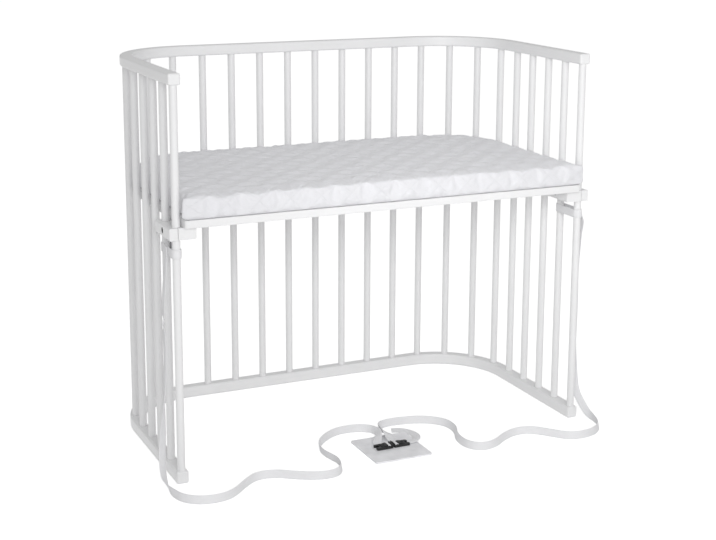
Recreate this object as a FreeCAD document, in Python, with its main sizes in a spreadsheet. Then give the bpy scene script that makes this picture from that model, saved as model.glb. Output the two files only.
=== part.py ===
import FreeCAD, Part
import math
import os
import re

import Sketcher
from FreeCAD import Placement, Rotation, Vector

# Bedside sleeper crib: two bentwood rails and the round dowels between them stand on three
# sides, the fourth side is open. A lying board with a thin mattress is held at any height by
# four wooden clamps on the dowels, and two webbing straps lead from the front clamps to a
# plate on the floor. Millimetres, +Z up, the open side faces -Y, the origin is on the floor
# under the middle of the crib.

SIZES = {
    # rails and dowels
    "width": 940,
    "depth": 500,
    "height": 822,
    "rail_width": 25,
    "top_rail_height": 23,
    "bottom_rail_height": 26,
    "corner_radius": 185,
    "rail_rounding": 4,
    "dowel_diameter": 16,
    "dowel_fit": 0.05,
    "hole_depth": 13,
    "front_setback": 11,
    "side_pitch": 67.5,
    "back_pitch": 68.75,
    # lying board and mattress
    "board_underside": 524,
    "board_thickness": 16,
    "board_overhang": 16,
    "board_gap": 2.5,
    "board_rounding": 1.5,
    "board_front_radius": 6,
    "mattress_thickness": 52,
    "mattress_overhang": 22,
    "mattress_gap": 1.5,
    "mattress_front_radius": 14,
    "mattress_edge": 9,
    "mattress_crown": 3,
    "quilt_length": 66,
    "quilt_depth": 66,
    "channel_depth": 4,
    "channel_width": 12,
    # clamps
    "strip_height": 24,
    "strip_margin": 14,
    "strip_rounding": 2.5,
    "outer_reach": 17.5,
    "inner_reach": 37,
    "seam_gap": 1,
    "clamp_play": 0.3,
    "bolt_diameter": 6,
    "bolt_play": 0.25,
    "bolt_head_diameter": 12,
    "bolt_head_height": 6,
    "counterbore_depth": 6.5,
    "bolt_tip_gap": 3,
    "socket_width": 5,
    "socket_depth": 3.5,
    "sleeve_diameter": 10,
    "sleeve_length": 14,
    "thread_fit": 0.05,
    "screw_inset": 22,
    "screw_diameter": 4,
    "screw_head_diameter": 8,
    "screw_head_height": 2.4,
    "screw_length": 28,
    # straps, plate and buckles
    "webbing_width": 18,
    "webbing_thickness": 1.6,
    "loop_drop": 20,
    "loop_play": 0.3,
    "plate_length": 130,
    "plate_depth": 134,
    "plate_thickness": 4,
    "plate_radius": 5,
    "buckle_length": 38,
    "buckle_width": 25,
    "buckle_thickness": 5,
    "buckle_slot": 4,
    "buckle_lip_height": 4,
}

SIDE_DOWELS = 5
CORNER_DOWELS = 4
BACK_DOWELS = 8

# Straps: hand-laid routes, one point for each corner of the path. A hanging stretch lies in
# an upright plane along X, its bend to the floor in one along Y, and the rest on the floor.
LEFT_HANG_Y = -195
LEFT_HANG = [(-468.5, 479), (-469, 448), (-472, 404), (-477, 336), (-474, 262), (-479, 190),
             (-488, 126), (-488, 92)]
LEFT_BEND = [(-195, 92), (-195, 60), (-213, 27), (-250, 9), (-288, 9)]
LEFT_FLOOR = [(-488, -288), (-488, -324), (-459, -351), (-415, -356), (-378, -344), (-351, -310),
              (-318, -282), (-278, -284), (-240, -313), (-205, -332), (-166, -336), (-142, -315),
              (-133, -275), (-145, -232), (-144, -190), (-117, -151), (-72, -121), (-25, -120),
              (5, -138), (5, -160)]
RIGHT_HANG_Y = -222
RIGHT_HANG = [(468.5, 479), (469, 466), (476, 450), (472, 422), (470, 368), (472, 292),
              (469.5, 216), (471, 146), (480, 92), (480, 64)]
RIGHT_BEND = [(-222, 64), (-222, 40), (-235, 18), (-259, 9), (-282, 9)]
RIGHT_FLOOR = [(480, -282), (480, -314), (453, -346), (413, -357), (375, -350), (347, -315),
               (321, -287), (285, -280), (245, -298), (212, -324), (175, -331), (151, -306),
               (151, -258), (172, -218), (173, -172), (138, -135), (85, -121), (42, -120),
               (20, -136), (20, -156)]
# Strap ends: centre and lean, 0 degrees where the webbing stands on edge, 90 where it is flat.
LEFT_END = [(5, -160, 9, 0), (4, -172, 13.4, 8), (0, -184, 13, 32), (-8, -198, 10, 60),
            (-16, -212, 7.6, 82), (-20, -226.5, 7, 90)]
RIGHT_END = [(20, -156, 9, 0), (20, -170, 13.4, 8), (20, -183, 13, 32), (19, -197, 10, 60),
             (19, -211, 7.6, 82), (20, -225.5, 7, 90)]
RIGHT_TAIL = [(45, -238, 7, 90), (55, -234, 6, 90), (62, -222, 5.2, 90), (64, -206, 4.9, 90),
              (64, -190, 4.9, 90), (61, -176, 5.1, 90), (55, -163, 5.1, 90), (45, -153, 2, 90),
              (37, -149.5, 0.8, 90), (30, -148, 0.8, 90)]

PLATE_CENTRE = (3, -241.5)
BUCKLES = {"buckle_left": (-14, -239, 0), "buckle_right": (26, -238, 0)}

# Formulas in the names above.
AXIS_X = "(width / 2 - rail_width / 2)"
FRONT = "((mattress_overhang + rail_width / 2 - depth - outer_reach) / 2)"
AXIS_BACK = f"({FRONT} + depth - rail_width / 2)"
ARC = "(corner_radius - rail_width / 2)"
ARC_X = f"({AXIS_X} - {ARC})"
ARC_Y = f"({AXIS_BACK} - {ARC})"
DOWEL_RADIUS = "(dowel_diameter / 2)"
STRIP_BOTTOM = "(board_underside - strip_height)"
BOARD_TOP = "(board_underside + board_thickness)"

WORD = re.compile(r"[a-z][a-z_]*")

doc = FreeCAD.newDocument("bedside_crib")
sheet = doc.addObject("Spreadsheet::Sheet", "Sizes")
for row, (alias, number) in enumerate(SIZES.items(), start=1):
    sheet.set(f"A{row}", alias)
    sheet.set(f"B{row}", str(number))
    sheet.setAlias(f"B{row}", alias)
doc.recompute()
subparts = []


# ---------------------------------------------------------------- helpers

def size(alias):
    """Return one size of the sheet as a number."""
    return float(sheet.get(alias))


def formula(text):
    """Return text with each size name pointing at its cell of the sheet."""
    def cell(word):
        return "Sizes." + word.group() if word.group() in SIZES else word.group()
    return WORD.sub(cell, text)


def bind(item, formulas):
    """Bind the properties of an object to formulas of the sheet."""
    for name, text in formulas.items():
        item.setExpression(name, formula(text))


def at(x="0", y="0", z="0"):
    """Return the formulas of a position."""
    return {"Placement.Base.x": x, "Placement.Base.y": y, "Placement.Base.z": z}


def turn(axis, degrees):
    """Return a placement that only turns."""
    return Placement(Vector(0, 0, 0), Rotation(axis, degrees))


def new_body(label):
    """Start a sub-part."""
    body = doc.addObject("PartDesign::Body", label)
    body.Label = label
    subparts.append(body)
    return body


def new_shape(label, shape):
    """Keep a shape made in code as a sub-part."""
    feature = doc.addObject("Part::Feature", label)
    feature.Label = label
    feature.Shape = shape
    subparts.append(feature)
    return feature


def new_sketch(body, name, role, offset="0"):
    """Add a sketch on one of the body's own planes."""
    sketch = body.newObject("Sketcher::SketchObject", name)
    plane = next(item for item in body.Origin.OriginFeatures if item.Role == role)
    sketch.AttachmentSupport = (plane, "")
    sketch.MapMode = "FlatFace"
    sketch.setExpression("AttachmentOffset.Base.z", formula(offset))
    return sketch


def add_block(body, name, lengths, corner, kind="Additive"):
    """Add or cut a box, given its three lengths and its low corner as formulas."""
    block = body.newObject(f"PartDesign::{kind}Box", name)
    bind(block, dict(zip(("Length", "Width", "Height"), lengths)))
    bind(block, at(*corner))
    return block


def add_rod(body, name, radius, length, base, kind="Additive", rotation=None):
    """Add or cut a cylinder, upright unless a rotation is given."""
    rod = body.newObject(f"PartDesign::{kind}Cylinder", name)
    if rotation is not None:
        rod.Placement = rotation
    bind(rod, {"Radius": radius, "Height": length})
    bind(rod, at(*base))
    return rod


def round_edges(body, name, feature, radius, chosen=None):
    """Fillet every edge of a feature, or those that a test on the edge chooses."""
    doc.recompute()
    edges = [f"Edge{number}" for number, edge in enumerate(feature.Shape.Edges, start=1)
             if chosen is None or chosen(edge)]
    fillet = body.newObject("PartDesign::Fillet", name)
    fillet.Base = (feature, edges)
    fillet.setExpression("Radius", formula(radius))
    return fillet


def is_upright(edge):
    """Say whether an edge runs along Z."""
    first, last = edge.Vertexes[0].Point, edge.Vertexes[-1].Point
    return abs(first.x - last.x) < 0.01 and abs(first.y - last.y) < 0.01 and first != last


def fix_point(sketch, geometry, vertex, x, y):
    """Tie a sketch point to the origin, given formulas; its drawn place gives the signs."""
    point = sketch.getPoint(geometry, vertex)
    for kind, text, drawn in (("DistanceX", x, point.x), ("DistanceY", y, point.y)):
        if drawn < 0:
            rule = Sketcher.Constraint(kind, geometry, vertex, -1, 1, -drawn)
            text = f"-({text})"
        else:
            rule = Sketcher.Constraint(kind, -1, 1, geometry, vertex, drawn)
        index = sketch.addConstraint(rule)
        sketch.setExpression(f"Constraints[{index}]", formula(text))


# ---------------------------------------------------------------- dowels

def dowel_spots():
    """Return the name and the place formulas of each dowel, round the U from front left."""
    before = f"({ARC_X} - back_pitch * {(BACK_DOWELS - 1) / 2})"
    after = f"({ARC_Y} - {FRONT} - front_setback - side_pitch * {SIDE_DOWELS - 1})"
    step = f"(({before} + {after} + {ARC} * pi / 2) / {CORNER_DOWELS + 1})"
    spots = {}
    for side, sign in (("left", "-"), ("right", "")):
        for number in range(SIDE_DOWELS):
            y = f"{FRONT} + front_setback + side_pitch * {number}"
            spots[f"{side}_dowel_{number + 1}"] = (f"{sign}{AXIS_X}", y)
        for number in range(1, CORNER_DOWELS + 1):
            angle = f"(({step} * {number} - {before}) / {ARC} * 180 / pi * 1 deg)"
            x = f"{sign}({ARC_X} + {ARC} * sin({angle}))"
            spots[f"back_{side}_dowel_{number}"] = (x, f"{ARC_Y} + {ARC} * cos({angle})")
    for number in range(BACK_DOWELS):
        spots[f"back_dowel_{number + 1}"] = (
            f"back_pitch * {number - (BACK_DOWELS - 1) / 2}", AXIS_BACK)
    return spots


SPOTS = dowel_spots()
dowels = {}
for label, (spot_x, spot_y) in SPOTS.items():
    dowel = doc.addObject("Part::Cylinder", label)
    dowel.Label = label
    bind(dowel, {"Radius": DOWEL_RADIUS,
                 "Height": "height - top_rail_height - bottom_rail_height + 2 * hole_depth"})
    bind(dowel, at(spot_x, spot_y, "bottom_rail_height - hole_depth"))
    dowels[label] = dowel
    subparts.append(dowel)
doc.recompute()


# ---------------------------------------------------------------- rails

def rail_spine(body):
    """Draw the U that a rail's middle line follows: side, corner, back, corner, side."""
    axis_x = size("width") / 2 - size("rail_width") / 2
    front = dowels["left_dowel_1"].Placement.Base.y - size("front_setback")
    back = dowels["back_dowel_1"].Placement.Base.y
    arc = size("corner_radius") - size("rail_width") / 2
    arc_x, arc_y = axis_x - arc, back - arc
    up = Vector(0, 0, 1)
    sketch = new_sketch(body, "Spine_" + body.Label, "XY_Plane")
    sketch.addGeometry([
        Part.LineSegment(Vector(-axis_x, front, 0), Vector(-axis_x, arc_y, 0)),
        Part.ArcOfCircle(Part.Circle(Vector(-arc_x, arc_y, 0), up, arc), math.pi / 2, math.pi),
        Part.LineSegment(Vector(-arc_x, back, 0), Vector(arc_x, back, 0)),
        Part.ArcOfCircle(Part.Circle(Vector(arc_x, arc_y, 0), up, arc), 0, math.pi / 2),
        Part.LineSegment(Vector(axis_x, arc_y, 0), Vector(axis_x, front, 0)),
    ])
    for rule in (("Tangent", 0, 2, 1, 2), ("Tangent", 1, 1, 2, 1), ("Tangent", 2, 2, 3, 2),
                 ("Tangent", 3, 1, 4, 1), ("Equal", 1, 3)):
        sketch.addConstraint(Sketcher.Constraint(*rule))
    fix_point(sketch, 0, 1, f"-{AXIS_X}", FRONT)
    fix_point(sketch, 4, 2, AXIS_X, FRONT)
    fix_point(sketch, 1, 3, f"-{ARC_X}", ARC_Y)
    fix_point(sketch, 3, 3, ARC_X, ARC_Y)
    return sketch


def rail(label, height, bottom, hole_from):
    """Sweep a rail round the U, round its edges and drill the blind dowel holes."""
    body = new_body(label)
    spine = rail_spine(body)
    profile = new_sketch(body, "Profile_" + label, "XZ_Plane", f"-({FRONT})")
    left, right = -size("width") / 2, -size("width") / 2 + size("rail_width")
    top = size(height)
    corners = [Vector(left, 0, 0), Vector(right, 0, 0), Vector(right, top, 0), Vector(left, top, 0)]
    for number in range(4):
        profile.addGeometry(Part.LineSegment(corners[number], corners[(number + 1) % 4]))
    for number in range(4):
        profile.addConstraint(
            Sketcher.Constraint("Coincident", number, 2, (number + 1) % 4, 1))
    for number, kind in enumerate(("Horizontal", "Vertical", "Horizontal", "Vertical")):
        profile.addConstraint(Sketcher.Constraint(kind, number))
    fix_point(profile, 0, 1, "-width / 2", "0")
    fix_point(profile, 1, 2, "rail_width - width / 2", height)
    pipe = body.newObject("PartDesign::AdditivePipe", "Pipe_" + label)
    pipe.Profile = profile
    pipe.Spine = (spine, [f"Edge{number}" for number in range(1, 6)])
    pipe.Transition = "Transformed"
    round_edges(body, "Rounding_" + label, pipe, "rail_rounding")

    holes = new_sketch(body, "Holes_" + label, "XY_Plane", hole_from)
    for number, (name, place) in enumerate(SPOTS.items()):
        centre = dowels[name].Placement.Base
        holes.addGeometry(Part.Circle(Vector(centre.x, centre.y, 0), Vector(0, 0, 1),
                                      size("dowel_diameter") / 2 + size("dowel_fit")))
        fix_point(holes, number, 3, *place)
        if number:
            holes.addConstraint(Sketcher.Constraint("Equal", 0, number))
    index = holes.addConstraint(Sketcher.Constraint("Radius", 0, size("dowel_diameter") / 2))
    holes.setExpression(f"Constraints[{index}]", formula(f"{DOWEL_RADIUS} + dowel_fit"))
    pocket = body.newObject("PartDesign::Pocket", "Drilled_" + label)
    pocket.Profile = holes
    pocket.Reversed = hole_from == "0"
    pocket.setExpression("Length", formula("hole_depth"))
    bind(body, at(z=bottom))
    body.Tip = pocket
    return body


rail("bottom_rail", "bottom_rail_height", "0", "bottom_rail_height")
rail("top_rail", "top_rail_height", "height - top_rail_height", "0")


# ---------------------------------------------------------------- clamps and lying board

# Each clamp grips two neighbouring dowels. In its own frame the dowels stand at
# X = -pitch / 2 and +pitch / 2, Y = 0, and +Y points out of the crib.
SIDE_MIDDLE = f"({FRONT} + front_setback + side_pitch / 2)"
CLAMPS = {
    "left": (90, f"-{AXIS_X}", SIDE_MIDDLE, "side_pitch"),
    "right": (-90, AXIS_X, SIDE_MIDDLE, "side_pitch"),
    "back_left": (0, f"-back_pitch * {BACK_DOWELS / 2 - 2}", AXIS_BACK, "back_pitch"),
    "back_right": (0, f"back_pitch * {BACK_DOWELS / 2 - 2}", AXIS_BACK, "back_pitch"),
}
ACROSS = turn(Vector(1, 0, 0), -90)
BOLT_AXIS = "strip_height / 2"


def place_in_clamp(item, clamp):
    """Put a piece modelled in the clamp's own frame where that clamp is."""
    degrees, x, y, _ = CLAMPS[clamp]
    item.Placement = turn(Vector(0, 0, 1), degrees)
    bind(item, at(x, y, STRIP_BOTTOM))


def notch(body, pitch):
    """Cut the two half-round notches that fit the dowels."""
    for name, sign in (("Low", "-"), ("High", "")):
        add_rod(body, f"{name}Notch_{body.Label}", f"{DOWEL_RADIUS} + clamp_play",
                "strip_height * 3", (f"{sign}{pitch} / 2", "0", "-strip_height"), "Subtractive")


def outer_strip(clamp):
    """Make the strip outside the dowels, with the counterbored hole of its bolt."""
    pitch = CLAMPS[clamp][3]
    body = new_body(f"outer_strip_{clamp}")
    block = add_block(body, "Block_" + body.Label,
                      (f"{pitch} + 2 * strip_margin", "outer_reach - seam_gap / 2", "strip_height"),
                      (f"-{pitch} / 2 - strip_margin", "seam_gap / 2", "0"))
    outside = size("outer_reach") - 0.01
    round_edges(body, "Rounding_" + body.Label, block, "strip_rounding",
                lambda edge: edge.CenterOfMass.y > outside)
    notch(body, pitch)
    add_rod(body, "Hole_" + body.Label, "bolt_diameter / 2 + bolt_play", "outer_reach * 2",
            ("0", "-outer_reach / 2", BOLT_AXIS), "Subtractive", ACROSS)
    add_rod(body, "Counterbore_" + body.Label, "bolt_head_diameter / 2 + bolt_play",
            "outer_reach", ("0", "outer_reach - counterbore_depth", BOLT_AXIS),
            "Subtractive", ACROSS)
    place_in_clamp(body, clamp)


def inner_strip(clamp):
    """Make the strip inside the dowels: it carries the board, a sleeve nut and two screws."""
    pitch = CLAMPS[clamp][3]
    body = new_body(f"inner_strip_{clamp}")
    block = add_block(body, "Block_" + body.Label,
                      (f"{pitch} + 2 * strip_margin", "inner_reach - seam_gap / 2", "strip_height"),
                      (f"-{pitch} / 2 - strip_margin", "-inner_reach", "0"))
    inside = 0.01 - size("inner_reach")
    round_edges(body, "Rounding_" + body.Label, block, "strip_rounding",
                lambda edge: edge.CenterOfMass.y < inside and edge.CenterOfMass.z < 1)
    notch(body, pitch)
    add_rod(body, "Hole_" + body.Label, "bolt_diameter / 2 + bolt_play", "inner_reach * 2",
            ("0", "-inner_reach * 3 / 2", BOLT_AXIS), "Subtractive", ACROSS)
    add_rod(body, "Sleeve_hole_" + body.Label, "sleeve_diameter / 2",
            "inner_reach", ("0", "sleeve_length - inner_reach * 2", BOLT_AXIS),
            "Subtractive", ACROSS)
    for name, sign in (("Low", "-"), ("High", "")):
        add_rod(body, f"{name}Screw_hole_{body.Label}", "screw_diameter / 2 + thread_fit",
                "strip_height", (f"{sign}{pitch} / 2", "-screw_inset",
                                 "board_thickness + strip_height - screw_length"), "Subtractive")
    place_in_clamp(body, clamp)


def clamp_bolt(clamp):
    """Make the socket-head bolt of a clamp, from its counterbore into the sleeve nut."""
    body = new_body(f"clamp_bolt_{clamp}")
    seat = "outer_reach - counterbore_depth"
    head = add_rod(body, "Head_" + body.Label, "bolt_head_diameter / 2", "bolt_head_height",
                   ("0", seat, BOLT_AXIS), rotation=ACROSS)
    outside = size("outer_reach") - size("counterbore_depth") + size("bolt_head_height") - 0.01
    round_edges(body, "Rounding_" + body.Label, head, "bolt_head_height / 8",
                lambda edge: edge.CenterOfMass.y > outside)
    add_rod(body, "Shank_" + body.Label, "bolt_diameter / 2",
            f"{seat} + inner_reach - bolt_tip_gap", ("0", "bolt_tip_gap - inner_reach", BOLT_AXIS),
            rotation=ACROSS)
    socket = body.newObject("PartDesign::SubtractivePrism", "Socket_" + body.Label)
    socket.Placement = ACROSS
    socket.Polygon = 6
    bind(socket, {"Circumradius": "socket_width / sqrt(3)", "Height": "bolt_head_height"})
    bind(socket, at(y=f"{seat} + bolt_head_height - socket_depth", z=BOLT_AXIS))
    place_in_clamp(body, clamp)


def sleeve_nuts():
    """Make the four sleeve nuts, pressed into the inner strips from inside the crib."""
    reach, length = size("inner_reach"), size("sleeve_length")
    bore = size("bolt_diameter") / 2 + size("thread_fit")
    start, along = Vector(0, -reach, size("strip_height") / 2), Vector(0, 1, 0)
    sleeve = Part.makeCylinder(size("sleeve_diameter") / 2, length, start, along)
    sleeve = sleeve.cut(Part.makeCylinder(bore, length, start, along))
    return Part.makeCompound([in_clamp(sleeve, clamp) for clamp in CLAMPS])


def in_clamp(shape, clamp):
    """Return a copy of a shape, moved from the clamp's own frame to where that clamp is."""
    copy = shape.copy()
    copy.Placement = doc.getObject(f"inner_strip_{clamp}").Placement.multiply(shape.Placement)
    return copy


def screw_spots(clamp):
    """Return the two screw places of a clamp, in its own frame."""
    pitch = size(CLAMPS[clamp][3])
    return [Vector(sign * pitch / 2, -size("screw_inset"), 0) for sign in (-1, 1)]


def board_screws():
    """Make the eight countersunk screws that hold the board on the inner strips."""
    radius, length = size("screw_diameter") / 2, size("screw_length")
    head_radius, head_height = size("screw_head_diameter") / 2, size("screw_head_height")
    up = Vector(0, 0, 1)
    screws = []
    for clamp in CLAMPS:
        for spot in screw_spots(clamp):
            top = spot + Vector(0, 0, size("strip_height") + size("board_thickness"))
            head = Part.makeCone(radius, head_radius, head_height,
                                 top - Vector(0, 0, head_height), up)
            shank = Part.makeCylinder(radius, length - head_height,
                                      top - Vector(0, 0, length), up)
            recess = Part.makeCylinder(radius * 0.6, head_height / 2,
                                       top - Vector(0, 0, head_height / 2), up)
            screws.append(in_clamp(head.fuse(shank).removeSplitter().cut(recess), clamp))
    return Part.makeCompound(screws)


def lying_board():
    """Make the lying board: rounded to the corners of the U, screwed down through its face."""
    body = new_body("lying_board")
    reach = f"({AXIS_X} - {DOWEL_RADIUS} - board_gap)"
    rear = f"({AXIS_BACK} - {DOWEL_RADIUS} - board_gap)"
    block = add_block(body, "Panel",
                      (f"2 * {reach}", f"{rear} - {FRONT} + board_overhang", "board_thickness"),
                      (f"-{reach}", f"{FRONT} - board_overhang", "0"))
    rear_corners = round_edges(body, "RearCorners", block,
                               f"{ARC} - {DOWEL_RADIUS} - board_gap",
                               lambda edge: is_upright(edge) and edge.CenterOfMass.y > 0)
    front_corners = round_edges(body, "FrontCorners", rear_corners, "board_front_radius",
                                lambda edge: is_upright(edge) and edge.CenterOfMass.y < 0
                                and abs(edge.CenterOfMass.x) > size("width") / 4
                                and edge.CenterOfMass.y < block.Placement.Base.y + 1)
    thickness = size("board_thickness")
    round_edges(body, "Arris", front_corners, "board_rounding",
                lambda edge: abs(edge.CenterOfMass.z - thickness) < 0.01
                or abs(edge.CenterOfMass.z) < 0.01)
    for clamp, (degrees, x, y, pitch) in CLAMPS.items():
        for name, sign in (("Low", "-"), ("High", "")):
            if degrees:
                inward = "+" if degrees > 0 else "-"
                spot = (f"{x} {inward} screw_inset", f"{y} {sign or '+'} {pitch} / 2")
            else:
                spot = (f"{x} {sign or '+'} {pitch} / 2", f"{y} - screw_inset")
            add_rod(body, f"{name}Hole_{clamp}", "screw_diameter / 2 + thread_fit",
                    "board_thickness * 3", (*spot, "-board_thickness"), "Subtractive")
            sink = body.newObject("PartDesign::SubtractiveCone", f"{name}Sink_{clamp}")
            bind(sink, {"Radius1": "screw_diameter / 2 + thread_fit",
                        "Radius2": "screw_head_diameter / 2 + thread_fit",
                        "Height": "screw_head_height"})
            bind(sink, at(*spot, "board_thickness - screw_head_height"))
    bind(body, at(z="board_underside"))


lying_board()
for clamp_name in CLAMPS:
    inner_strip(clamp_name)
    outer_strip(clamp_name)
    clamp_bolt(clamp_name)
doc.recompute()
new_shape("sleeve_nuts", sleeve_nuts())
new_shape("board_screws", board_screws())


# ---------------------------------------------------------------- mattress

def rounded_plan(inset, level):
    """Return the mattress outline drawn in by an inset, as a wire of lines and arcs."""
    axis_x = size("width") / 2 - size("rail_width") / 2
    front = dowels["left_dowel_1"].Placement.Base.y - size("front_setback")
    half = axis_x - size("rail_width") / 2 - size("mattress_gap") - inset
    rear = dowels["back_dowel_1"].Placement.Base.y - size("rail_width") / 2
    rear = rear - size("mattress_gap") - inset
    low = front - size("mattress_overhang") + inset
    rear_radius = size("corner_radius") - size("rail_width") - size("mattress_gap") - inset
    front_radius = max(size("mattress_front_radius") - inset, 6)
    corners = [((half - front_radius, low + front_radius), front_radius, -90),
               ((half - rear_radius, rear - rear_radius), rear_radius, 0),
               ((rear_radius - half, rear - rear_radius), rear_radius, 90),
               ((front_radius - half, low + front_radius), front_radius, 180)]
    edges = []
    last = None
    for (x, y), radius, start in corners:
        ring = [Vector(x + radius * math.cos(math.radians(start + angle)),
                       y + radius * math.sin(math.radians(start + angle)), level)
                for angle in (0, 45, 90)]
        if last is not None:
            edges.append(Part.LineSegment(last, ring[0]).toShape())
        edges.append(Part.Arc(*ring).toShape())
        last = ring[2]
    edges.append(Part.LineSegment(last, edges[0].Vertexes[0].Point).toShape())
    return Part.Wire(edges)


def mattress():
    """Loft the mattress: rounded edges, sides drawn in top and bottom, a low crown."""
    bottom = size("board_underside") + size("board_thickness")
    thickness, edge, crown = (size("mattress_thickness"), size("mattress_edge"),
                              size("mattress_crown"))
    shoulder = thickness - crown
    levels = [(edge * 0.75, 0), (edge * 0.25, edge * 0.35), (0, edge),
              (edge * 0.12, shoulder / 2), (0, shoulder - edge * 1.1),
              (edge * 0.3, shoulder - edge * 0.35), (edge, shoulder),
              (edge * 6, shoulder + crown * 0.65), (edge * 14, thickness)]
    wires = [rounded_plan(inset, bottom + level) for inset, level in levels]
    return Part.makeLoft(wires, True, True).cut(quilting(bottom + thickness))


def quilting(top):
    """Return the sewn channels of the cover: straight grooves that cross in lozenges."""
    length, depth = size("quilt_length"), size("quilt_depth")
    front = dowels["left_dowel_1"].Placement.Base.y - size("front_setback")
    back = dowels["back_dowel_1"].Placement.Base.y
    middle = (front + back) / 2
    reach = size("width") / 2 + (back - front) * length / depth
    rows = int(reach / length)
    half_width = size("channel_width") / 2
    grooves = []
    for sign in (-1, 1):
        along = Vector(length * sign, depth, 0).normalize()
        across = along.cross(Vector(0, 0, 1)) * half_width
        run = along * (reach * 3)
        for row in range(-rows, rows + 1):
            centre = Vector((row + 0.5) * length, middle, top)
            lowest = centre - Vector(0, 0, size("channel_depth")) - run / 2
            corners = [lowest, centre - run / 2 + across, centre - run / 2 - across, lowest]
            grooves.append(Part.Face(Part.makePolygon(corners)).extrude(run))
    return grooves


new_shape("mattress", mattress())


# ---------------------------------------------------------------- straps

def tangent_path(points, name):
    """Join the runs of a plane path by tangent arcs and return its pieces.

    A piece is a list of two points for a run, or of three points, with the centre as a
    fourth, for an arc. Each arc takes 0.45 of the shorter of its two runs.
    """
    points = [Vector(x, y, 0) for x, y in points]
    pieces, radii = [], []
    start = points[0]
    for before, corner, after in zip(points, points[1:], points[2:]):
        back, ahead = (before - corner), (after - corner)
        cut = 0.45 * min(back.Length, ahead.Length)
        back.normalize()
        ahead.normalize()
        half_turn = (math.pi - back.getAngle(ahead)) / 2
        radius = cut / math.tan(half_turn)
        bisector = back + ahead
        bisector.normalize()
        centre = corner + bisector * (radius / math.cos(half_turn))
        first, last = corner + back * cut, corner + ahead * cut
        pieces.append([start, first])
        pieces.append([first, centre - bisector * radius, last, centre])
        radii.append(round(radius, 1))
        start = last
    pieces.append([start, points[-1]])
    print(f"{name}: least radius {min(radii)} mm of {radii}")
    return pieces


def band(pieces, width):
    """Return the face of a band of a given width along the pieces of a plane path."""
    up = Vector(0, 0, 1)
    sides = []
    for sign in (1, -1):
        edges = []
        for piece in pieces:
            if len(piece) == 2:
                across = (piece[1] - piece[0]).cross(up).normalize() * (sign * width / 2)
                edges.append(Part.LineSegment(piece[0] + across, piece[1] + across).toShape())
            else:
                centre = piece[3]
                outward = (piece[1] - centre).dot((piece[2] - piece[0]).cross(up))
                shift = math.copysign(width / 2, outward) * sign
                moved = [centre + (point - centre) * (1 + shift / (point - centre).Length)
                         for point in piece[:3]]
                edges.append(Part.Arc(*moved).toShape())
        sides.append(edges)
    ends = [Part.LineSegment(sides[0][place].Vertexes[vertex].Point,
                             sides[1][place].Vertexes[vertex].Point).toShape()
            for place, vertex in ((0, 0), (-1, -1))]
    return Part.Face(Part.Wire(Part.__sortEdges__(sides[0] + sides[1] + ends)))


def path_length(pieces):
    """Return the length of a path's runs and arcs together."""
    edges = [Part.LineSegment(*piece) if len(piece) == 2 else Part.Arc(*piece[:3])
             for piece in pieces]
    return sum(edge.toShape().Length for edge in edges)


def upright_band(points, level, name, thickness, width, placement):
    """Sweep webbing along a plane path and move it to its plane."""
    pieces = tangent_path(points, name)
    solid = band(pieces, thickness).extrude(Vector(0, 0, width))
    length = path_length(pieces)
    share = solid.Volume / (length * width * thickness)
    print(f"{name}: {length:.0f} mm long, volume over section times length {share:.3f}")
    solid.translate(Vector(0, 0, level))
    solid.Placement = placement.multiply(solid.Placement)
    return solid


def ribbon(stations, first, last):
    """Loft webbing through stations of centre and lean, with its first and last direction."""
    centres = [Vector(*station[:3]) for station in stations]
    across_half, through_half = size("webbing_width") / 2, size("webbing_thickness") / 2
    wires = []
    for place, (centre, station) in enumerate(zip(centres, stations)):
        if place in (0, len(centres) - 1):
            along = Vector(*last) if place else Vector(*first)
        else:
            along = centres[place + 1] - centres[place - 1]
        along.normalize()
        flat = along.cross(Vector(0, 0, 1)).normalize()
        lean = math.radians(station[3])
        across = Vector(0, 0, math.cos(lean)) + flat * math.sin(lean)
        across = (across - along * across.dot(along)).normalize() * across_half
        through = along.cross(across).normalize() * through_half
        wires.append(Part.makePolygon([centre + across + through, centre - across + through,
                                       centre - across - through, centre + across - through,
                                       centre + across + through]))
    return Part.makeLoft(wires, True, True)


def strap(side, hang_y, hang, bend, floor, end):
    """Make the nodes of one strap: hanging stretch, floor stretch and end at the buckle."""
    width, thickness = size("webbing_width"), size("webbing_thickness")
    # A plane path's X and Y become X and Z of the hanging stretch, and Y and Z of its bend.
    along_x = Placement(Vector(0, hang_y, 0), Rotation(Vector(1, 0, 0), 90))
    along_y = Placement(Vector(hang[-1][0], 0, 0), Rotation(Vector(1, 1, 1), 120))
    new_shape(f"strap_{side}_hanging", upright_band(
        hang, -width / 2, f"strap_{side}_hanging", thickness, width, along_x))
    bent = upright_band(bend, -thickness / 2, f"strap_{side}_bend", width, thickness, along_y)
    laid = upright_band(floor, 0, f"strap_{side}_floor", thickness, width, Placement())
    new_shape(f"strap_{side}_floor", bent.fuse(laid))
    new_shape(f"strap_{side}_end", ribbon(end, (0, -1, 0), (0, -1, 0)))


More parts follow.
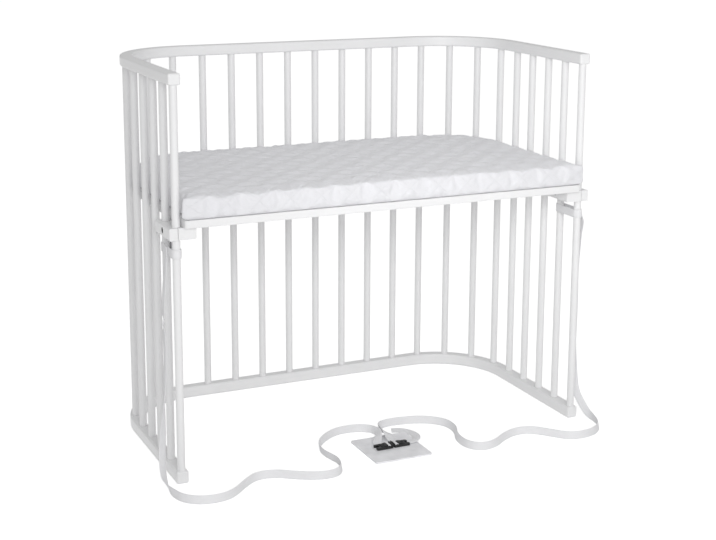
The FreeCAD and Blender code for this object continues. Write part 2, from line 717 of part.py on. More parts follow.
def strap_loop(side):
    """Make the loop of webbing round the two dowels under a front clamp."""
    pitch = size("side_pitch")
    inner = size("dowel_diameter") / 2 + size("loop_play")
    outer = inner + size("webbing_thickness")
    faces = []
    for radius in (outer, inner):
        ends = [Vector(-pitch / 2, -radius, 0), Vector(pitch / 2, -radius, 0),
                Vector(pitch / 2 + radius, 0, 0), Vector(pitch / 2, radius, 0),
                Vector(-pitch / 2, radius, 0), Vector(-pitch / 2 - radius, 0, 0)]
        faces.append(Part.Face(Part.Wire([
            Part.LineSegment(ends[0], ends[1]).toShape(),
            Part.Arc(ends[1], ends[2], ends[3]).toShape(),
            Part.LineSegment(ends[3], ends[4]).toShape(),
            Part.Arc(ends[4], ends[5], ends[0]).toShape()])))
    loop = faces[0].cut(faces[1]).extrude(Vector(0, 0, size("webbing_width")))
    loop.translate(Vector(0, 0, -size("loop_drop") - size("webbing_width")))
    return in_clamp(loop, side)


def buckle(label, x, y, degrees):
    """Make a flat buckle: two webbing slots, a fork at one end and a raised lip."""
    body = new_body(label)
    panel = add_block(body, "Panel_" + label,
                      ("buckle_length", "buckle_width", "buckle_thickness"),
                      ("-buckle_length / 2", "-buckle_width / 2", "0"))
    round_edges(body, "Rounding_" + label, panel, "buckle_thickness / 3")
    opening = "(webbing_width + 1)"
    for name, low in (("First", "0"), ("Second", "2 * buckle_slot")):
        add_block(body, f"{name}Slot_{label}", ("buckle_slot", opening, "buckle_thickness * 3"),
                  (low, f"-{opening} / 2", "-buckle_thickness"), "Subtractive")
    add_block(body, "Fork_" + label,
              ("buckle_length / 2", "buckle_width / 2", "buckle_thickness * 3"),
              ("-buckle_length / 2 - buckle_length / 4", "-buckle_width / 4",
               "-buckle_thickness"), "Subtractive")
    add_block(body, "Lip_" + label,
              ("buckle_slot", "buckle_width * 0.8", "buckle_lip_height + 1"),
              ("buckle_slot", "-buckle_width * 0.4", "buckle_thickness - 1"))
    body.Placement = turn(Vector(0, 0, 1), degrees)
    bind(body, at(f"{x}", f"{y}", "plate_thickness"))


def strap_plate():
    """Make the thin square plate under the buckles."""
    body = new_body("strap_plate")
    x, y = PLATE_CENTRE
    panel = add_block(body, "Panel_strap_plate",
                      ("plate_length", "plate_depth", "plate_thickness"),
                      (f"{x} - plate_length / 2", f"{y} - plate_depth / 2", "0"))
    round_edges(body, "Corners_strap_plate", panel, "plate_radius", is_upright)


strap("left", LEFT_HANG_Y, LEFT_HANG, LEFT_BEND, LEFT_FLOOR, LEFT_END)
strap("right", RIGHT_HANG_Y, RIGHT_HANG, RIGHT_BEND, RIGHT_FLOOR, RIGHT_END)
new_shape("strap_right_tail", ribbon(RIGHT_TAIL, (1, 0, 0), (-1, 0, 0)))
for loop_side in ("left", "right"):
    new_shape(f"strap_loop_{loop_side}", strap_loop(loop_side))
strap_plate()
for buckle_label, spot in BUCKLES.items():
    buckle(buckle_label, *spot)


# ---------------------------------------------------------------- check and write

doc.recompute()
for item in doc.Objects:
    if "Invalid" in item.State or "Error" in item.State:
        raise RuntimeError(f"{item.Label} failed: {item.State}")
os.makedirs("parts", exist_ok=True)
for item in subparts:
    if item.Shape.isNull() or not item.Shape.isValid():
        raise RuntimeError(f"{item.Label} has no valid shape")
    item.Shape.exportStep(f"parts/{item.Label}.step")
whole = Part.makeCompound([item.Shape for item in subparts])
print(f"{len(subparts)} nodes, box {whole.BoundBox}")
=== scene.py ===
"""Bedside sleeper crib in white lacquer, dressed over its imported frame.

The crib's wooden parts keep their CAD solids and get their finishes here. The quilted mattress,
the webbing straps with their loops, and the black buckles are modelled here in full.
"""

import logging
import math
from dataclasses import dataclass, field
from enum import Enum
from typing import Callable, Sequence

import bmesh
import bpy
import numpy as np
from mathutils import Matrix, Vector


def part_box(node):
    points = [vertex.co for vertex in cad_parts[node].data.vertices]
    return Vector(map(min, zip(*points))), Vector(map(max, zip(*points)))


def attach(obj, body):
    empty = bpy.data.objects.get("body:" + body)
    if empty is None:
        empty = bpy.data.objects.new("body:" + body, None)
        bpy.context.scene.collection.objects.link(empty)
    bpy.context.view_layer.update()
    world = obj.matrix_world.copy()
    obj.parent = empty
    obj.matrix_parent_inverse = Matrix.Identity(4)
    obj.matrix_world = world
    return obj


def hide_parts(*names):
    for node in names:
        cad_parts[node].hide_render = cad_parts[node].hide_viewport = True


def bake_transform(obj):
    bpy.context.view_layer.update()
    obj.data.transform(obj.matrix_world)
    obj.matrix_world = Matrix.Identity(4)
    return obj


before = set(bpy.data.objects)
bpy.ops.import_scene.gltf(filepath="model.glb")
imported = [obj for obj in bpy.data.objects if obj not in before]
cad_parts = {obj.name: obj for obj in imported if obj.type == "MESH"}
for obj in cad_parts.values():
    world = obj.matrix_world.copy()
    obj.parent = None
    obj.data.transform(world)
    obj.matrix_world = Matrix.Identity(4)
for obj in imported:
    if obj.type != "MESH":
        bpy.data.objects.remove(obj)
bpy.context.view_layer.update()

log = logging.getLogger("bedside_crib")

Point = tuple[float, float, float]
MM = 0.001
NEAR = 1e-5
TINY = 1e-9


# ------------------------------------------------------------------ modelling helpers


class Bench:
    """Small modelling steps shared by every sub-assembly."""

    @staticmethod
    def clear() -> None:
        """Leave edit mode and deselect everything."""
        if bpy.context.object and bpy.context.object.mode != "OBJECT":
            bpy.ops.object.mode_set(mode="OBJECT")
        bpy.ops.object.select_all(action="DESELECT")

    @staticmethod
    def focus(piece: bpy.types.Object) -> None:
        """Make one object the only one selected, and active.

        Args:
            piece: The object.
        """
        Bench.clear()
        piece.select_set(True)
        bpy.context.view_layer.objects.active = piece

    @staticmethod
    def block(name: str, low: Point, high: Point) -> bpy.types.Object:
        """Add a box between two corners.

        Args:
            name: The new object's name.
            low: Lowest corner, in metres.
            high: Highest corner, in metres.

        Returns:
            The box, with its place and size in its mesh.
        """
        Bench.clear()
        centre = [(a + b) / 2 for a, b in zip(low, high)]
        bpy.ops.mesh.primitive_cube_add(size=1, location=centre)
        box = bpy.context.object
        box.name = name
        box.scale = [b - a for a, b in zip(low, high)]
        Bench.settle(box)
        return box

    @staticmethod
    def prism(name: str, outline: Sequence[tuple[float, float]], start: float,
              depth: float) -> bpy.types.Object:
        """Extrude an outline in X and Z along Y.

        Args:
            name: The new object's name.
            outline: The outline's corners, as X and Z in metres.
            start: Where the prism starts along Y.
            depth: How far it runs along Y.

        Returns:
            The prism, closed and with its faces outwards.
        """
        Bench.clear()
        bpy.ops.mesh.primitive_circle_add(vertices=len(outline), radius=1, fill_type="NGON")
        prism = bpy.context.object
        prism.name = name
        for vertex, (x, z) in zip(prism.data.vertices, outline):
            vertex.co = (x, start, z)
        Bench.select(prism, "FACE", lambda face: True)
        bpy.ops.mesh.extrude_region_move(TRANSFORM_OT_translate={"value": (0, depth, 0)})
        Bench.face_out(prism)
        return prism

    @staticmethod
    def face_out(piece: bpy.types.Object) -> None:
        """Turn every face of a closed mesh outwards.

        Args:
            piece: The mesh object.
        """
        Bench.select(piece, "FACE", lambda face: True)
        bpy.ops.mesh.normals_make_consistent(inside=False)
        bpy.ops.object.mode_set(mode="OBJECT")

    @staticmethod
    def upright(edge: bmesh.types.BMEdge) -> float:
        """Return how upright an edge stands, from 0 to 1."""
        return abs((edge.verts[0].co - edge.verts[1].co).normalized().z)

    @staticmethod
    def settle(piece: bpy.types.Object) -> None:
        """Move an object's place, turn and size into its mesh."""
        Bench.focus(piece)
        bpy.ops.object.transform_apply(location=True, rotation=True, scale=True)

    @staticmethod
    def select(piece: bpy.types.Object, mode: str, test: Callable[..., bool]) -> None:
        """Enter edit mode with the chosen elements of a mesh selected.

        Args:
            piece: The mesh object.
            mode: VERT, EDGE or FACE.
            test: Says of each such element whether it is chosen.
        """
        Bench.focus(piece)
        bpy.ops.object.mode_set(mode="EDIT")
        bpy.ops.mesh.select_mode(type=mode)
        bpy.ops.mesh.select_all(action="DESELECT")
        mesh = bmesh.from_edit_mesh(piece.data)
        for element in {"VERT": mesh.verts, "EDGE": mesh.edges, "FACE": mesh.faces}[mode]:
            if test(element):
                element.select_set(True)
        mesh.select_flush_mode()
        bmesh.update_edit_mesh(piece.data)

    @staticmethod
    def round_edges(piece: bpy.types.Object, radius: float, segments: int,
                    test: Callable[..., bool]) -> None:
        """Bevel the edges that a test chooses to a radius.

        Args:
            piece: The mesh object.
            radius: The rounding's radius, in metres.
            segments: How many faces run across the rounding.
            test: Says of each edge whether it is rounded.
        """
        Bench.select(piece, "EDGE", test)
        bpy.ops.mesh.bevel(offset=radius, segments=segments, profile=0.5, affect="EDGES")
        bpy.ops.object.mode_set(mode="OBJECT")

    @staticmethod
    def apply(piece: bpy.types.Object, kind: str, **settings: object) -> None:
        """Add a modifier, set it and apply it.

        Args:
            piece: The mesh object.
            kind: The type of modifier.
            settings: The modifier's properties and their values.
        """
        Bench.focus(piece)
        modifier = piece.modifiers.new(kind.title(), kind)
        for name, value in settings.items():
            setattr(modifier, name, value)
        bpy.ops.object.modifier_apply(modifier=modifier.name)

    @staticmethod
    def cut(piece: bpy.types.Object, cutter: bpy.types.Object) -> None:
        """Cut one closed mesh out of another and remove the cutter."""
        Bench.apply(piece, "BOOLEAN", object=cutter, operation="DIFFERENCE", solver="EXACT")
        bpy.data.objects.remove(cutter, do_unlink=True)

    @staticmethod
    def join(name: str, parts: Sequence[bpy.types.Object]) -> bpy.types.Object:
        """Join several objects into the first one.

        Args:
            name: The joined object's name.
            parts: The objects, of which the first takes in the others.

        Returns:
            The joined object.
        """
        Bench.focus(parts[0])
        for part in parts:
            part.select_set(True)
        bpy.ops.object.join()
        parts[0].name = name
        return parts[0]

    @staticmethod
    def smooth(piece: bpy.types.Object, degrees: float = 35) -> None:
        """Shade smooth except across edges sharper than an angle."""
        Bench.focus(piece)
        bpy.ops.object.shade_smooth_by_angle(angle=math.radians(degrees))

    @staticmethod
    def mesh(name: str, points: Sequence[Sequence[float]],
             faces: Sequence[Sequence[int]]) -> bpy.types.Object:
        """Make an object from points and faces.

        Args:
            name: The name of the object and its mesh.
            points: The vertices, in metres.
            faces: The numbers of each face's vertices.

        Returns:
            The object, linked to the scene.
        """
        data = bpy.data.meshes.new(name)
        data.from_pydata([tuple(point) for point in points], [], [tuple(f) for f in faces])
        data.update()
        piece = bpy.data.objects.new(name, data)
        bpy.context.scene.collection.objects.link(piece)
        return piece


# ------------------------------------------------------------------ finishes


class Grain(Enum):
    """The way the wood's grain runs: along an axis, or level round the bent rails."""

    ALONG_X = (6.0, 140.0, 140.0)
    ALONG_Y = (140.0, 6.0, 140.0)
    UPRIGHT = (140.0, 140.0, 6.0)
    LEVEL = (7.0, 7.0, 150.0)


class Nodes:
    """A node tree under construction, with short ways to add and join its nodes."""

    def __init__(self, tree: bpy.types.NodeTree) -> None:
        """Start with a tree."""
        self.tree = tree

    def node(self, kind: str, **settings: object) -> bpy.types.Node:
        """Add a node and set it up.

        Args:
            kind: The node's type, without ShaderNode.
            settings: Its properties, or its inputs where they are numbers, with _ for a space.

        Returns:
            The node.
        """
        made = self.tree.nodes.new(f"ShaderNode{kind}")
        for name, value in settings.items():
            if hasattr(made, name):
                setattr(made, name, value)
            else:
                made.inputs[name.replace("_", " ")].default_value = value
        return made

    def link(self, source: bpy.types.NodeSocket, target: bpy.types.NodeSocket) -> None:
        """Join an output to an input."""
        self.tree.links.new(source, target)

    def maths(self, operation: str, first: object, second: object) -> bpy.types.NodeSocket:
        """Add a Math node.

        Args:
            operation: What it works out.
            first: A socket or a number.
            second: A socket or a number.

        Returns:
            Its result.
        """
        made = self.node("Math", operation=operation)
        for place, value in enumerate((first, second)):
            if isinstance(value, bpy.types.NodeSocket):
                self.link(value, made.inputs[place])
            else:
                made.inputs[place].default_value = value
        return made.outputs[0]


class Shader(Nodes):
    """A material under construction, with patterns that feed its Principled shader."""

    def __init__(self, name: str) -> None:
        """Start a material with one Principled shader.

        Args:
            name: The material's name.
        """
        self.material = bpy.data.materials.new(name)
        self.material.use_nodes = True
        super().__init__(self.material.node_tree)
        self.surface = self.tree.nodes["Principled BSDF"]

    def coordinates(self, scale: Sequence[float] = (1, 1, 1), socket: str = "Object",
                    turn: Sequence[float] = (0, 0, 0)) -> bpy.types.NodeSocket:
        """Add Object or UV coordinates, scaled and turned.

        Args:
            scale: The scale along each axis.
            socket: Object or UV.
            turn: The turn about each axis, in radians.

        Returns:
            The coordinates.
        """
        source = self.node("TexCoord")
        mapping = self.node("Mapping")
        mapping.inputs["Scale"].default_value = scale
        mapping.inputs["Rotation"].default_value = turn
        self.link(source.outputs[socket], mapping.inputs["Vector"])
        return mapping.outputs["Vector"]

    def noise(self, vector: bpy.types.NodeSocket, scale: float, detail: float = 3,
              roughness: float = 0.5) -> bpy.types.NodeSocket:
        """Add a noise pattern.

        Args:
            vector: The coordinates.
            scale: How fine the pattern is.
            detail: How many finer layers it has.
            roughness: How strong these are.

        Returns:
            The pattern, from 0 to 1.
        """
        made = self.node("TexNoise", Scale=scale, Detail=detail, Roughness=roughness)
        self.link(vector, made.inputs["Vector"])
        return made.outputs["Fac"]

    def wave(self, vector: bpy.types.NodeSocket, period: float,
             direction: str) -> bpy.types.NodeSocket:
        """Add even bands across one axis; at scale 1 their period is tau / 20.

        Args:
            vector: The coordinates.
            period: From band to band, in the coordinates' unit.
            direction: The axis, X or Y.

        Returns:
            The pattern, from 0 to 1.
        """
        made = self.node("TexWave", bands_direction=direction, Scale=math.tau / 20 / period,
                         Distortion=0, Detail=0)
        self.link(vector, made.inputs["Vector"])
        return made.outputs["Fac"]

    def weigh(self, first: bpy.types.NodeSocket, second: bpy.types.NodeSocket,
              share: float) -> bpy.types.NodeSocket:
        """Return the first pattern's share and the rest of the second."""
        return self.maths("ADD", self.maths("MULTIPLY", first, share),
                          self.maths("MULTIPLY", second, 1 - share))

    def ramp(self, factor: bpy.types.NodeSocket, low: Sequence[float], high: Sequence[float],
             start: float = 0, end: float = 1) -> bpy.types.NodeSocket:
        """Add a colour that runs from low to high with a pattern.

        Args:
            factor: The pattern.
            low: The colour up to the start.
            high: The colour from the end on.
            start: Where the colour starts to change.
            end: Where it stops.

        Returns:
            The colour.
        """
        made = self.node("ValToRGB")
        made.color_ramp.elements[0].position = start
        made.color_ramp.elements[1].position = end
        made.color_ramp.elements[0].color = (*low, 1)
        made.color_ramp.elements[1].color = (*high, 1)
        self.link(factor, made.inputs["Fac"])
        return made.outputs["Color"]

    def bump(self, height: bpy.types.NodeSocket, distance: float, strength: float = 1,
             under: bpy.types.NodeSocket | None = None) -> bpy.types.NodeSocket:
        """Add relief to the surface.

        Args:
            height: The relief's pattern.
            distance: How deep it is, in metres.
            strength: How much of it shows, from 0 to 1.
            under: A normal to add it to.

        Returns:
            The normal.
        """
        made = self.node("Bump", Strength=strength, Distance=distance)
        self.link(height, made.inputs["Height"])
        if under is not None:
            self.link(under, made.inputs["Normal"])
        return made.outputs["Normal"]

    def into(self, source: bpy.types.NodeSocket, name: str) -> None:
        """Join an output to the Principled shader's named input."""
        self.link(source, self.surface.inputs[name])

    def gloss(self, pattern: bpy.types.NodeSocket, low: float, high: float) -> None:
        """Let a pattern drive the roughness between two values.

        Args:
            pattern: The pattern, from 0 to 1.
            low: The roughness at 0.
            high: The roughness at 1.
        """
        rough = self.node("MapRange", To_Min=low, To_Max=high)
        self.link(pattern, rough.inputs["Value"])
        self.into(rough.outputs[0], "Roughness")

    def set(self, **values: object) -> None:
        """Set the Principled shader's own inputs, with _ for a space."""
        for name, value in values.items():
            self.surface.inputs[name.replace("_", " ")].default_value = value


def shade(colour: Sequence[float], factor: float) -> tuple[float, ...]:
    """Return a colour made darker or lighter by a factor."""
    return tuple(min(1.0, part * factor) for part in colour)


@dataclass(frozen=True)
class Lacquer:
    """White lacquer over wood: closed satin film with the grain just telling through."""

    name: str
    grain: Grain
    colour: tuple[float, float, float] = (0.84, 0.84, 0.845)
    roughness: float = 0.34
    relief: float = 0.00025

    def build(self) -> bpy.types.Material:
        """Build the lacquer with its grain, pores and film.

        Returns:
            The material, ready for a piece.
        """
        shader = Shader(self.name)
        fibres = shader.noise(shader.coordinates(self.grain.value), 1.0, 5, 0.62)
        clouds = shader.noise(shader.coordinates(), 9.0, 2)
        film = shader.noise(shader.coordinates(), 420.0, 2)
        shader.into(shader.ramp(shader.weigh(fibres, clouds, 0.55), shade(self.colour, 0.965),
                                shade(self.colour, 1.02), 0.3, 0.7), "Base Color")
        shader.gloss(clouds, self.roughness - 0.05, self.roughness + 0.07)
        pores = shader.bump(fibres, self.relief, 0.5)
        shader.into(shader.bump(film, 0.00006, 0.35, pores), "Normal")
        shader.set(IOR=1.5, Coat_Weight=0.12, Coat_Roughness=0.18)
        return shader.material


@dataclass(frozen=True)
class Weave:
    """Narrow webbing: ribs along the strap crossed by picks, with a firm selvedge."""

    name: str
    colour: tuple[float, float, float] = (0.88, 0.88, 0.895)
    rib: float = 1.5 * MM
    pick: float = 1.1 * MM

    def build(self) -> bpy.types.Material:
        """Build the webbing on the strap's own UV map, in metres.

        Returns:
            The material, ready for a piece.
        """
        shader = Shader(self.name)
        along = shader.coordinates(socket="UV")
        ribs = shader.wave(along, self.rib, "Y")
        picks = shader.wave(along, self.pick, "X")
        weave = shader.maths("MULTIPLY", ribs, shader.maths("ADD",
                             shader.maths("MULTIPLY", picks, 0.6), 0.4))
        slubs = shader.noise(shader.coordinates((60, 600, 1), "UV"), 1.0, 3)
        shader.into(shader.ramp(shader.weigh(weave, slubs, 0.5), shade(self.colour, 0.9),
                                shade(self.colour, 1.04), 0.15, 0.75), "Base Color")
        shader.into(shader.bump(weave, 0.0003, 0.8), "Normal")
        shader.set(Roughness=0.62, Sheen_Weight=0.25, Sheen_Roughness=0.4)
        return shader.material


@dataclass(frozen=True)
class Cotton:
    """Quilted cotton cover: fine cloth, soft creases and stitched lines; sizes in metres."""

    name: str
    colour: tuple[float, float, float] = (0.785, 0.785, 0.81)
    thread: float = 1.2 * MM
    cell: float = 66 * MM / math.sqrt(2)
    line: float = 1.5 * MM
    stitch: float = 3.4 * MM

    def build(self) -> bpy.types.Material:
        """Build the cover; its UV map counts the quilting's two sets of lines.

        Returns:
            The material, ready for a piece.
        """
        shader = Shader(self.name)
        quilt = shader.coordinates(socket="UV")
        parts = shader.node("SeparateXYZ")
        shader.link(quilt, parts.inputs[0])
        lines, threads = [], []
        for across, along in (("X", "Y"), ("Y", "X")):
            off = shader.maths("ABSOLUTE", shader.maths("SUBTRACT", shader.maths(
                "FRACT", parts.outputs[across], 0), 0.5), 0)
            edge = shader.node("MapRange", interpolation_type="SMOOTHSTEP", From_Min=0,
                               From_Max=self.line / self.cell, To_Min=1, To_Max=0)
            shader.link(off, edge.inputs["Value"])
            lines.append(edge.outputs[0])
            dash = shader.maths("SINE", shader.maths("MULTIPLY", parts.outputs[along],
                                                     math.tau * self.cell / self.stitch), 0)
            stitches = shader.maths("GREATER_THAN", dash, -0.35)
            thin = shader.maths("LESS_THAN", off, 0.3 * self.line / self.cell)
            threads.append(shader.maths("MULTIPLY", stitches, thin))
        seam = shader.maths("MAXIMUM", *lines)
        thread = shader.maths("MAXIMUM", *threads)
        cloth = shader.coordinates((self.cell, self.cell, 1), "UV", (0, 0, math.pi / 4))
        weave = shader.maths("MULTIPLY", shader.wave(cloth, self.thread, "X"),
                             shader.wave(cloth, self.thread, "Y"))
        place = shader.coordinates()
        creases = shader.noise(place, 42.0, 5, 0.6)
        fuzz = shader.noise(place, 900.0, 2)
        # Painted shade: the colour is darker in the hollows of the crease relief and along the sewn
        # lines; the fuzz share is the cloth's own random tone.
        tone_and_painted_shade = shader.maths("SUBTRACT", shader.weigh(creases, fuzz, 0.6),
                            shader.maths("MULTIPLY", seam, 0.05))
        shader.into(shader.ramp(tone_and_painted_shade, shade(self.colour, 0.93), shade(self.colour, 1.02),
                                0.1, 0.6), "Base Color")
        puckers = shader.noise(shader.coordinates((34, 120, 60)), 1.0, 4, 0.55)
        folds = shader.bump(creases, 0.003, 0.3, shader.bump(puckers, 0.004, 0.45))
        sewn = shader.bump(shader.maths("SUBTRACT", 1, seam), 0.0007, 0.4, folds)
        woven = shader.bump(weave, 0.0002, 0.4, sewn)
        shader.into(shader.bump(thread, 0.0004, 0.8, woven), "Normal")
        shader.set(Roughness=0.86, Sheen_Weight=0.25, Sheen_Roughness=0.5, IOR=1.4)
        return shader.material


@dataclass(frozen=True)
class Moulded:
    """Moulded plastic with a fine spark-eroded grain."""

    name: str
    colour: tuple[float, float, float]
    roughness: float = 0.42
    relief: float = 0.00008

    def build(self) -> bpy.types.Material:
        """Build the plastic.

        Returns:
            The material, ready for a piece.
        """
        shader = Shader(self.name)
        grain = shader.noise(shader.coordinates(), 1400.0, 3, 0.6)
        flow = shader.noise(shader.coordinates(), 30.0, 2)
        shader.into(shader.ramp(flow, shade(self.colour, 0.92), shade(self.colour, 1.06),
                                0.3, 0.7), "Base Color")
        shader.gloss(flow, self.roughness - 0.06, self.roughness + 0.06)
        shader.into(shader.bump(grain, self.relief, 0.5), "Normal")
        return shader.material


@dataclass(frozen=True)
class Steel:
    """Steel of a fastener, blackened or zinc plated."""

    name: str
    colour: tuple[float, float, float]
    roughness: float = 0.36

    def build(self) -> bpy.types.Material:
        """Build the steel.

        Returns:
            The material, ready for a piece.
        """
        shader = Shader(self.name)
        blotches = shader.noise(shader.coordinates(), 260.0, 4, 0.6)
        shader.into(shader.ramp(blotches, shade(self.colour, 0.8), shade(self.colour, 1.15),
                                0.3, 0.7), "Base Color")
        shader.gloss(blotches, self.roughness - 0.08, self.roughness + 0.1)
        shader.into(shader.bump(blotches, 0.00005, 0.3), "Normal")
        shader.set(Metallic=1.0)
        return shader.material


class Finishes:
    """Every finish of the crib, built once."""

    def __init__(self) -> None:
        """Build the materials."""
        self.rail = Lacquer("white_lacquer_bent_rail", Grain.LEVEL).build()
        self.dowel = Lacquer("white_lacquer_dowel", Grain.UPRIGHT).build()
        self.board = Lacquer("white_lacquer_board", Grain.ALONG_X, roughness=0.38).build()
        self.side_strip = Lacquer("white_lacquer_side_strip", Grain.ALONG_Y).build()
        self.back_strip = Lacquer("white_lacquer_back_strip", Grain.ALONG_X).build()
        self.webbing = Weave("white_webbing").build()
        self.cover = Cotton("quilted_cotton").build()
        self.buckle = Moulded("black_buckle_plastic", (0.012, 0.012, 0.013), 0.4).build()
        self.plate = Moulded("white_plate_plastic", (0.89, 0.89, 0.91), 0.5, 0.0001).build()
        self.black_steel = Steel("blackened_steel", (0.035, 0.035, 0.037)).build()
        self.zinc = Steel("zinc_plated_steel", (0.62, 0.62, 0.64), 0.3).build()


def dress(piece: bpy.types.Object, material: bpy.types.Material) -> None:
    """Give a whole piece one material."""
    piece.data.materials.clear()
    piece.data.materials.append(material)


# ------------------------------------------------------------------ studio


@dataclass(frozen=True)
class Softbox:
    """A square area lamp; sizes in metres, power in watts, spread in degrees."""

    name: str
    place: Point
    target: Point
    size: float
    power: float
    spread: float = 180

    def hang(self) -> None:
        """Add the lamp to the scene, facing its target."""
        data = bpy.data.lights.new(self.name, "AREA")
        data.shape = "SQUARE"
        data.size = self.size
        data.energy = self.power
        data.spread = math.radians(self.spread)
        lamp = bpy.data.objects.new(self.name, data)
        away = Vector(self.place) - Vector(self.target)
        lamp.matrix_world = (Matrix.Translation(self.place)
                             @ away.to_track_quat("Z", "Y").to_matrix().to_4x4())
        bpy.context.scene.collection.objects.link(lamp)


@dataclass
class Studio:
    """Camera, soft lamps and a pale floor; sizes in metres, angles in degrees.

    The focal length, the vanishing centre and the frame are in pixels. The vanishing centre
    lies above the frame's middle, as in the photograph, so the lens is shifted.
    """

    eye: Point = (-1.2479, -2.7979, 1.1426)
    yaw: float = 24.609
    pitch: float = 11.952
    roll: float = 0.251
    focal_px: float = 1419.65
    centre_px: tuple[float, float] = (358.0, 200.0)
    frame_px: tuple[int, int] = (716, 540)
    sensor: float = 36
    clip_end: float = 60
    floor_half: float = 14.0
    floor_start: float = -10.0
    floor_colour: tuple[float, float, float] = (0.92, 0.92, 0.92)
    floor_light: float = 0.52
    sky: float = 0.55
    softboxes: tuple[Softbox, ...] = (
        Softbox("front_softbox", (-0.95, -3.8, 1.7), (0, 0, 0.45), 1.5, 54),
        Softbox("side_fill", (-0.40, -1.3, 0.95), (0.5, 0.1, 0.5), 0.5, 0.6, 70),
        Softbox("top_softbox", (0.1, 0.2, 4.2), (0, 0, 0.45), 3.0, 4))

    def build(self) -> None:
        """Set up the whole studio."""
        self.camera()
        self.floor()
        self.world()
        for softbox in self.softboxes:
            softbox.hang()
        bpy.context.scene.view_settings.view_transform = "Standard"

    def camera(self) -> None:
        """Place the camera as the photograph's camera stood."""
        data = bpy.data.cameras.new("camera")
        data.sensor_fit = "HORIZONTAL"
        data.sensor_width = self.sensor
        width, height = self.frame_px
        data.lens = self.focal_px * data.sensor_width / width
        data.shift_x = (width / 2 - self.centre_px[0]) / width
        data.shift_y = (self.centre_px[1] - height / 2) / width
        data.clip_end = self.clip_end
        camera = bpy.data.objects.new("camera", data)
        turn = (Matrix.Rotation(math.radians(-self.yaw), 4, "Z")
                @ Matrix.Rotation(math.radians(90 - self.pitch), 4, "X")
                @ Matrix.Rotation(math.radians(self.roll), 4, "Z"))
        camera.matrix_world = Matrix.Translation(self.eye) @ turn
        bpy.context.scene.collection.objects.link(camera)
        bpy.context.scene.camera = camera

    def floor(self) -> None:
        """Lay a pale floor that stays white to the camera and keeps the crib's shadow."""
        Bench.clear()
        bpy.ops.mesh.primitive_plane_add(size=2 * self.floor_half,
                                         location=(0, self.floor_half + self.floor_start, 0))
        plane = bpy.context.object
        plane.name = "floor"
        Bench.settle(plane)
        material = bpy.data.materials.new("pale_floor")
        material.use_nodes = True
        nodes = Nodes(material.node_tree)
        nodes.tree.nodes.clear()
        matte = nodes.node("BsdfDiffuse", Color=(*self.floor_colour, 1))
        rays = nodes.node("LightPath").outputs
        seen = nodes.maths("MAXIMUM", rays["Is Camera Ray"], rays["Is Glossy Ray"])
        glow, both = nodes.node("Emission"), nodes.node("AddShader")
        nodes.link(nodes.maths("MULTIPLY", seen, self.floor_light), glow.inputs["Strength"])
        nodes.link(matte.outputs[0], both.inputs[0])
        nodes.link(glow.outputs[0], both.inputs[1])
        nodes.link(both.outputs[0], nodes.node("OutputMaterial").inputs["Surface"])
        dress(plane, material)

    def world(self) -> None:
        """Light the crib from all round, and show white to the camera."""
        world = bpy.data.worlds.new("studio")
        bpy.context.scene.world = world
        world.use_nodes = True
        nodes = Nodes(world.node_tree)
        light = nodes.tree.nodes["Background"]
        light.inputs["Color"].default_value = (1, 1, 1, 1)
        light.inputs["Strength"].default_value = self.sky
        white = nodes.node("Background", Color=(1, 1, 1, 1), Strength=1.0)
        mix = nodes.node("MixShader")
        nodes.link(nodes.node("LightPath").outputs["Is Camera Ray"], mix.inputs["Fac"])
        nodes.link(light.outputs[0], mix.inputs[1])
        nodes.link(white.outputs[0], mix.inputs[2])
        nodes.link(mix.outputs[0], nodes.tree.nodes["World Output"].inputs["Surface"])


# ------------------------------------------------------------------ straps

Route = Sequence[Point]
Rolls = tuple[tuple[float, float], ...]


